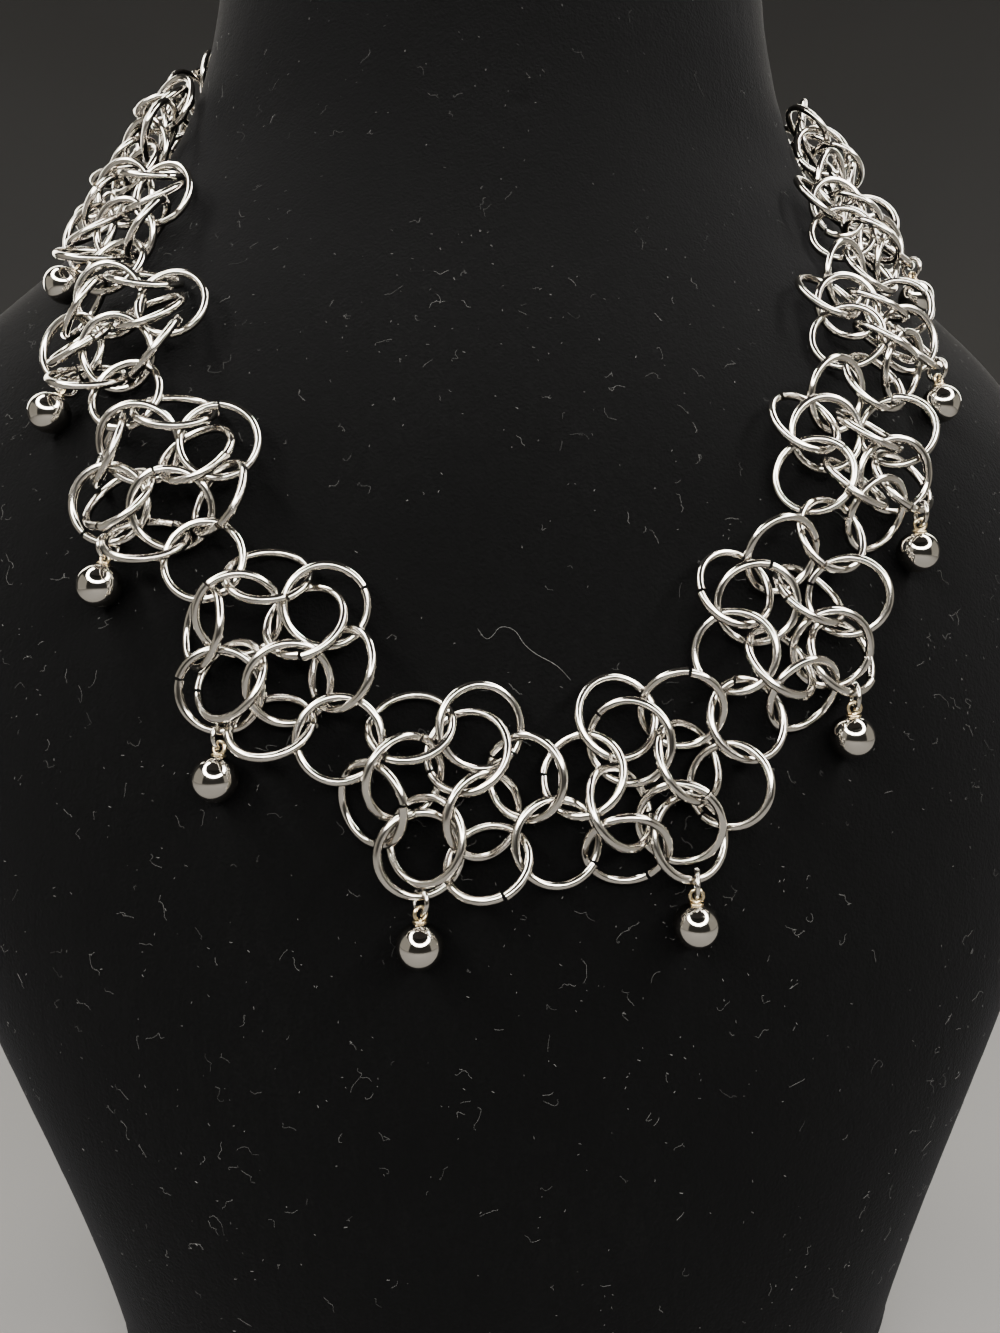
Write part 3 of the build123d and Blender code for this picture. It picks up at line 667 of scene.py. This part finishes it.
def pale_floor(finish):
    """Matt studio paper with faint soft clouds and a fine tooth."""
    made, nodes, shader, place = material("pale_floor")
    clouds = noise_of(nodes, place, 2.5, 3.0)
    tooth = noise_of(nodes, place, 1500.0, 2.0)
    set_shader(nodes, shader, {
        "Base Color": mixed(nodes, ranged(nodes, clouds, 0.3, 0.7, 0.0, 1.0), finish.floor,
                            finish.floor_dark),
        "Roughness": 0.85,
        "Specular IOR Level": 0.2,
        "Normal": bumped(nodes, tooth, 0.15, 0.05)})
    return made


# Meshes made by a formula

def new_piece(name, mesh, skin):
    """Object with a mesh and one material."""
    piece = linked(name, mesh)
    mesh.materials.clear()
    mesh.materials.append(skin)
    return piece


def grid_mesh(name, rows, closed_ends=True):
    """Mesh from rows of points that go round. Closed ends are fanned to their middles."""
    rows = np.asarray(rows, float)
    count, around = rows.shape[:2]
    points = rows.reshape(-1, 3).tolist()
    faces = []
    for row in range(count - 1):
        for k in range(around):
            following = (k + 1) % around
            faces.append((row * around + k, row * around + following,
                          (row + 1) * around + following, (row + 1) * around + k))
    if closed_ends:
        for row, order in ((0, -1), (count - 1, 1)):
            points.append(rows[row].mean(axis=0).tolist())
            for k in range(around):
                pair = (row * around + k, row * around + (k + 1) % around)[::order]
                faces.append((*pair, len(points) - 1))
    mesh = bpy.data.meshes.new(name)
    mesh.from_pydata(points, [], faces)
    mesh.shade_smooth()
    return mesh


def torus_rows(mean_radius, wire, stations=40, sides=14):
    """Rows of a wire loop in the XZ plane, about Y."""
    loop = np.linspace(0, 2 * math.pi, stations + 1)
    rows = []
    for angle in loop:
        section = np.linspace(0, 2 * math.pi, sides, endpoint=False)
        reach = mean_radius + wire / 2 * np.cos(section)
        rows.append(np.stack([reach * math.cos(angle), wire / 2 * np.sin(section),
                              reach * math.sin(angle)], axis=1))
    return np.array(rows)


# Pieces

def make_rings(wire, finish):
    """Both sides of the chain, ring for ring where the CAD has them."""
    skin = wire_steel(finish)
    tree = ring_tree()
    values = {"Mean radius": (wire.ring_outer - wire.ring_wire) / 2, "Wire": wire.ring_wire,
              "Cut": wire.ring_cut, "Step": wire.ring_step, "Flare": wire.ring_flare,
              "Stations": wire.stations, "Sides": wire.sides, "Material": skin}
    for node in ("chain_left", "chain_right"):
        places = [ring_place(points) for points in loose_solids(node)]
        piece = grown(f"{node}_rings", point_mesh(node, places), tree, values)
        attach(piece, BODY)
        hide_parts(node)
    small = {**values, "Mean radius": (wire.drop_outer - wire.drop_wire) / 2, "Wire": wire.drop_wire,
             "Cut": wire.ring_cut / 2, "Step": wire.ring_step / 3, "Flare": wire.ring_flare / 3,
             "Stations": 40}
    nodes = nodes_named("drop_ring")
    places = [ring_place(loose_solids(node)[0]) for node in nodes]
    piece = grown("small_rings", point_mesh("small_rings", places), tree, small)
    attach(piece, BODY)
    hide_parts(*nodes)


def make_drops(drop, finish):
    """Balls of polished steel, with their brass collars and eyes."""
    nodes = nodes_named("ball_drop")
    eye_radius = (drop.eye_outer - drop.eye_wire) / 2
    depth = eye_radius - drop.eye_wire / 2 + drop.collar_rise + drop.ball / 2
    places = []
    for node in nodes:
        centre, turn = ball_place(loose_solids(node)[0], drop.ball / 2)
        up = turn.to_matrix() @ Vector((0.0, 0.0, 1.0))
        places.append((Vector(centre) + up * depth, turn))
    values = {"Ball radius": drop.ball / 2, "Collar radius": drop.collar / 2,
              "Collar rise": drop.collar_rise, "Eye radius": eye_radius, "Eye wire": drop.eye_wire}
    balls = grown("balls", point_mesh("balls", places), placed_tree("balls", ball_shape),
                  {**values, "Material": ball_steel(finish)})
    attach(balls, BODY)
    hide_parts(*nodes)
    collars = grown("ball_collars", point_mesh("collars", places), placed_tree("collars", collar_shape),
                    {**values, "Material": collar_brass(finish)})
    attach(collars, BODY)


def clasp_frame(points):
    """Middle of the clasp, and its ways: along the barrel, along an eye's axis, square to both."""
    eye_end = 1.5 * MM
    along = main_ways(points)[0]
    reach = (points - points.mean(axis=0)) @ along
    across = main_ways(points[reach > reach.max() - eye_end])[2]
    across -= along * np.dot(across, along)
    across /= np.linalg.norm(across)
    ways = np.stack([along, across, np.cross(along, across)], axis=1)
    local = points @ ways
    return ways @ ((local.max(axis=0) + local.min(axis=0)) / 2), ways


def barrel_profile(clasp, half):
    """Places along the barrel with their radii: rounded ends and turned grooves."""
    radius, round_steps = clasp.barrel / 2, 7
    groove_places = (0.62, 0.5, 0.0)
    groove_shape = ((0.3, 0.0), (0.12, 1.0), (-0.12, 1.0), (-0.3, 0.0))
    profile = [(half - clasp.round * (1 - math.sin(a)), radius - clasp.round * (1 - math.cos(a)))
               for a in np.linspace(math.pi / 2, 0, round_steps)]
    for place in groove_places:
        for shift, depth in groove_shape:
            profile.append((place * half + shift * MM, radius - depth * clasp.groove))
    return profile + [(-x, r) for x, r in reversed(profile[:-len(groove_shape)])]


def make_clasp(clasp, finish):
    """Barrel with turned grooves between two eyes."""
    columns, crease = 48, math.radians(40)
    middle, ways = clasp_frame(loose_solids("clasp")[0])
    eye_radius = (clasp.eye_outer - clasp.eye_wire) / 2
    turns = np.linspace(0, 2 * math.pi, columns, endpoint=False)
    rows = [np.stack([np.full(columns, x), r * np.cos(turns), r * np.sin(turns)], axis=1)
            for x, r in barrel_profile(clasp, clasp.length / 2 - eye_radius)]
    meshes = [grid_mesh("barrel", rows)]
    for side in (-1, 1):
        loop = torus_rows(eye_radius, clasp.eye_wire)
        loop[:, :, 0] += side * clasp.length / 2
        meshes.append(grid_mesh("eye", loop, closed_ends=False))
    made = bmesh.new()
    for mesh in meshes:
        made.from_mesh(mesh)
    bmesh.ops.remove_doubles(made, verts=made.verts, dist=0.001 * MM)
    bmesh.ops.recalc_face_normals(made, faces=made.faces)
    place = Matrix(ways.tolist()).to_4x4()
    place.translation = Vector(middle)
    bmesh.ops.transform(made, matrix=place, verts=made.verts)
    mesh = bpy.data.meshes.new("clasp_barrel")
    made.to_mesh(mesh)
    made.free()
    mesh.shade_smooth()
    mesh.set_sharp_from_angle(angle=crease)
    piece = new_piece("clasp_barrel", mesh, clasp_steel(finish))
    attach(piece, BODY)
    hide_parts("clasp")


def bust_form():
    """Search tree of the CAD bust, and a function for its middle at a height."""
    points, corners = points_of("neck_bust")
    tree = BVHTree.FromPolygons(points.tolist(), corners.tolist())

    def middle(height):
        front = tree.ray_cast(Vector((0, -1, height)), Vector((0, 1, 0)))[0]
        back = tree.ray_cast(Vector((0, 1, height)), Vector((0, -1, 0)))[0]
        return Vector((0, (front.y + back.y) / 2, height))
    return tree, middle


def dip(distance, width):
    """Smooth groove shape: 1 in its middle and 0 past its width."""
    t = min(1.0, abs(distance) / width)
    return (1 - t * t) ** 2


def bust_rows(bust):
    """Rows of skin points from the base's edge up to the neck's top."""
    tree, middle = bust_form()
    low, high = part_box("neck_bust")
    inside = 0.05 * MM
    heights = np.linspace(low.z + inside, high.z - inside, bust.rows)
    edge = np.array([0.3, 0.7, 1.3, 2.0]) * MM
    heights = np.unique(np.concatenate([heights, low.z + edge, high.z - edge]))
    rows = []
    for height in heights:
        centre = middle(height)
        row = []
        for k in range(bust.turns):
            turn = 2 * math.pi * k / bust.turns
            way = Vector((math.sin(turn), -math.cos(turn), 0.0))
            hit = tree.ray_cast(centre, way)[0]
            reach = (hit - centre).length + skin_rise(bust, hit, turn, height, low.z, high.z)
            row.append(centre + way * reach)
        rows.append(row)
    return np.array(rows, float)


def skin_rise(bust, point, turn, height, low, high):
    """How far the velvet stands off the form at a point."""
    swell_scale, pucker_step, pucker_rise = 45.0, 4.6 * MM, 0.22 * MM
    binding_rise, edge_drop, edge_width = 0.35 * MM, 1.2 * MM, 1.6 * MM
    rise = bust.pile + bust.unevenness * noise.noise(point * swell_scale)
    pucker = 0.5 + 0.5 * math.sin(height / pucker_step * 2 * math.pi)
    back_seam = abs(math.remainder(turn - math.pi, 2 * math.pi)) * point.xy.length
    rise -= bust.seam_depth * dip(back_seam, bust.seam_width)
    rise += pucker_rise * pucker * dip(back_seam - 1.5 * bust.seam_width, 2 * bust.seam_width)
    rise -= bust.seam_depth * dip(high - bust.top_seam - height, bust.seam_width)
    if height < low + bust.binding:
        rise += binding_rise
    rise -= bust.seam_depth * dip(low + bust.binding - height, 0.8 * bust.seam_width)
    edge = min(height - low, high - height)
    return rise - edge_drop * dip(edge, edge_width)


def make_bust(bust, finish):
    """Velvet skin over the padded form, seamed at the back and bound at the base."""
    rows = bust_rows(bust)
    under, top = rows[0], rows[-1]
    shares = (0.96, 0.85, 0.65, 0.4, 0.15)
    low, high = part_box("neck_bust")
    under_rows = [shrunk(under, share, low.z) for share in reversed(shares)]
    top_rows = [shrunk(top, share, high.z) for share in shares]
    mesh = grid_mesh("velvet_bust", np.concatenate([under_rows, rows, top_rows]))
    piece = new_piece("velvet_bust", mesh, velvet(finish))
    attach(piece, BODY)
    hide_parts("neck_bust")
    return piece


def shrunk(row, share, height):
    """Row of points drawn in to its middle, at a height."""
    middle = row.mean(axis=0)
    moved = middle + (row - middle) * share
    moved[:, 2] = height
    return moved


def lint_amounts(mesh):
    """Lint attribute: most on the chest, less on the sides and little behind."""
    chest_height, chest_reach = 105 * MM, 95 * MM
    behind, least_front, front_gain = 0.06, 0.25, 1.2
    amounts = []
    for vertex in mesh.vertices:
        front = max(0.0, min(1.0, -vertex.normal.y * front_gain))
        chest = max(0.0, 1 - abs(vertex.co.z - chest_height) / chest_reach)
        thickness = least_front + (1 - least_front) * chest
        amounts.append(behind + front * thickness * patch_of(vertex.co))
    mesh.attributes.new("lint", "FLOAT", "POINT").data.foreach_set("value", amounts)


def patch_of(point):
    """Share of lint at a point, because it gathers in soft patches."""
    patch_scale, least, usual, swing = 38.0, 0.1, 0.6, 0.9
    return max(least, usual + swing * noise.noise(point * patch_scale))


def make_lint(lint, skin, bust):
    """Bent fibres and specks on the velvet."""
    tree = lint_tree()
    square_decimetre = 0.01
    kinds = (
        ("lint_fibres", lint.fibre_count, lint.fibre_length, lint.fibre_width, lint.fibre_bend),
        ("lint_specks", lint.speck_count, lint.speck_length, lint.speck_width, lint.speck_bend),
    )
    for k, (name, count, size, width, bend) in enumerate(kinds):
        mesh = bust.data.copy()
        lint_amounts(mesh)
        piece = grown(name, mesh, tree, {
            "Count": count / square_decimetre, "Length": size, "Width": width, "Bend": bend,
            "Lift": lint.lift, "Seed": lint.seed + k, "Material": skin})
        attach(piece, BODY)


def make_hair(lint, skin, bust):
    """Long stray hair, laid on the velvet from the front."""
    tree = BVHTree.FromPolygons([v.co for v in bust.data.vertices],
                                [tuple(face.vertices) for face in bust.data.polygons])
    line = bpy.data.curves.new("stray_hair", "CURVE")
    line.dimensions = "3D"
    line.bevel_depth = lint.hair_width / 2
    line.bevel_resolution = 1
    spline = line.splines.new("NURBS")
    spline.points.add(len(STRAY_HAIR) - 1)
    for point, (across, up) in zip(spline.points, STRAY_HAIR):
        hit, normal = tree.ray_cast(Vector((across * MM, -1, up * MM)), Vector((0, 1, 0)))[:2]
        point.co = (*(hit + normal * lint.hair_lift), 1.0)
    spline.order_u = 3
    spline.use_endpoint_u = True
    spline.resolution_u = 6
    drawn = linked("hair_line", line)
    depsgraph = bpy.context.evaluated_depsgraph_get()
    mesh = bpy.data.meshes.new_from_object(drawn.evaluated_get(depsgraph), depsgraph=depsgraph)
    bpy.data.objects.remove(drawn)
    piece = new_piece("stray_hair", mesh, skin)
    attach(piece, BODY)


def front_of(axis):
    """Direction square to an axis and as far to the front as that allows."""
    front = Vector((0.0, -1.0, 0.0))
    return (front - axis * front.dot(axis)).normalized()


def add_light(name, place, turn, wide, tall, power, tint):
    """Rectangular soft light, turned so that its own Z points away from what it lights."""
    data = bpy.data.lights.new(name, "AREA")
    data.shape = "RECTANGLE"
    data.size, data.size_y = wide, tall
    data.energy = power
    data.color = tint
    light = linked(name, data)
    light.location = place
    light.rotation_euler = turn.to_euler()


def make_floor(finish):
    """Round pale floor that sweeps up into a wall at its edge."""
    reach, sweep, wall, sweep_steps, columns = 1.6, 0.7, 2.6, 14, 96
    line = [(MM, 0.0), (0.4 * reach, 0.0)]
    line += [(reach - sweep * (1 - math.sin(a)), sweep * (1 - math.cos(a)))
             for a in np.linspace(0.0, math.pi / 2, sweep_steps)]
    line.append((reach, wall))
    turns = np.linspace(2 * math.pi, 0, columns, endpoint=False)
    rows = [np.stack([r * np.cos(turns), r * np.sin(turns), np.full(columns, z)], axis=1)
            for r, z in line]
    mesh = grid_mesh("studio_floor", rows, closed_ends=False)
    new_piece("studio_floor", mesh, pale_floor(finish))


def make_lights(studio):
    """Soft lights at the sides and behind, an open ring of lights overhead and dim surroundings."""
    world = bpy.data.worlds.new("studio")
    world.use_nodes = True
    surroundings = world.node_tree.nodes["Background"].inputs
    surroundings["Color"].default_value = SURROUNDING_WHITE
    surroundings["Strength"].default_value = studio.world
    bpy.context.scene.world = world
    for name, place, wide, tall, setting in SOFT_LIGHTS:
        turn = (Vector(place) - LIT_MIDDLE).to_track_quat("Z", "Y")
        add_light(name, Vector(place), turn, wide, tall, getattr(studio, setting), WARM_WHITE)
    axis = Vector((0.0, -0.37, 0.93)).normalized()
    steps, spread, wide, tall = 9, 260, 0.20, 0.105
    for k in range(steps):
        swing = math.radians(spread * (k / (steps - 1) - 0.5))
        outwards = Matrix.Rotation(swing, 3, axis) @ front_of(axis)
        way = axis * math.cos(studio.ring_turn) + outwards * math.sin(studio.ring_turn)
        along = axis.cross(outwards)
        turn = Matrix((along, way.cross(along), way)).transposed().to_quaternion()
        add_light(f"ring_light_{k + 1}", LIT_MIDDLE + way * studio.ring_reach, turn, wide, tall,
                  studio.ring, KEY_WHITE)


def make_camera(studio):
    """Camera where the photo was taken from."""
    data = bpy.data.cameras.new("camera")
    data.sensor_fit = "HORIZONTAL"
    data.sensor_width = 36.0
    data.lens = studio.lens
    data.clip_start = 5 * MM
    camera = linked("camera", data)
    camera.location = studio.camera
    camera.rotation_euler = Euler(studio.aim)
    bpy.context.scene.camera = camera


# Operators and panel

class NECKLACE_OT_rings(bpy.types.Operator):
    """Make the woven rings and the small rings of the drops"""
    bl_idname = "necklace.rings"
    bl_label = "Wire rings"

    def execute(self, context):
        make_rings(context.scene.necklace_wire, context.scene.necklace_finish)
        return {"FINISHED"}


class NECKLACE_OT_drops(bpy.types.Operator):
    """Make the balls with their collars and eyes"""
    bl_idname = "necklace.drops"
    bl_label = "Ball drops"

    def execute(self, context):
        make_drops(context.scene.necklace_drop, context.scene.necklace_finish)
        return {"FINISHED"}


class NECKLACE_OT_clasp(bpy.types.Operator):
    """Make the barrel clasp"""
    bl_idname = "necklace.clasp"
    bl_label = "Clasp"

    def execute(self, context):
        make_clasp(context.scene.necklace_clasp, context.scene.necklace_finish)
        return {"FINISHED"}


class NECKLACE_OT_bust(bpy.types.Operator):
    """Make the velvet bust and the lint on it"""
    bl_idname = "necklace.bust"
    bl_label = "Velvet bust"

    def execute(self, context):
        scene = context.scene
        bust = make_bust(scene.necklace_bust, scene.necklace_finish)
        skin = lint_fluff(scene.necklace_finish)
        make_lint(scene.necklace_lint, skin, bust)
        make_hair(scene.necklace_lint, skin, bust)
        return {"FINISHED"}


class NECKLACE_OT_stage(bpy.types.Operator):
    """Make the floor, lights and camera"""
    bl_idname = "necklace.stage"
    bl_label = "Studio"

    def execute(self, context):
        make_floor(context.scene.necklace_finish)
        make_lights(context.scene.necklace_studio)
        make_camera(context.scene.necklace_studio)
        return {"FINISHED"}


class NECKLACE_PT_panel(bpy.types.Panel):
    """Buttons for each piece of the necklace and its stand"""
    bl_idname = "NECKLACE_PT_panel"
    bl_label = "Necklace"
    bl_space_type = "VIEW_3D"
    bl_region_type = "UI"
    bl_category = "Necklace"

    def draw(self, context):
        for operator in OPERATORS:
            self.layout.operator(operator.bl_idname)


GROUPS = {
    "necklace_wire": NecklaceWire,
    "necklace_drop": NecklaceDrop,
    "necklace_clasp": NecklaceClasp,
    "necklace_bust": NecklaceBust,
    "necklace_lint": NecklaceLint,
    "necklace_finish": NecklaceFinish,
    "necklace_studio": NecklaceStudio,
}
OPERATORS = (
    NECKLACE_OT_rings, NECKLACE_OT_drops, NECKLACE_OT_clasp, NECKLACE_OT_bust, NECKLACE_OT_stage,
)


def register():
    for name, group in GROUPS.items():
        bpy.utils.register_class(group)
        setattr(bpy.types.Scene, name, bpy.props.PointerProperty(type=group))
    for operator in OPERATORS:
        bpy.utils.register_class(operator)
    bpy.utils.register_class(NECKLACE_PT_panel)


def unregister():
    bpy.utils.unregister_class(NECKLACE_PT_panel)
    for operator in reversed(OPERATORS):
        bpy.utils.unregister_class(operator)
    for name, group in reversed(GROUPS.items()):
        delattr(bpy.types.Scene, name)
        bpy.utils.unregister_class(group)


def main():
    register()
    bpy.ops.necklace.rings()
    bpy.ops.necklace.drops()
    bpy.ops.necklace.clasp()
    bpy.ops.necklace.bust()
    bpy.ops.necklace.stage()


if __name__ == "__main__":
    main()
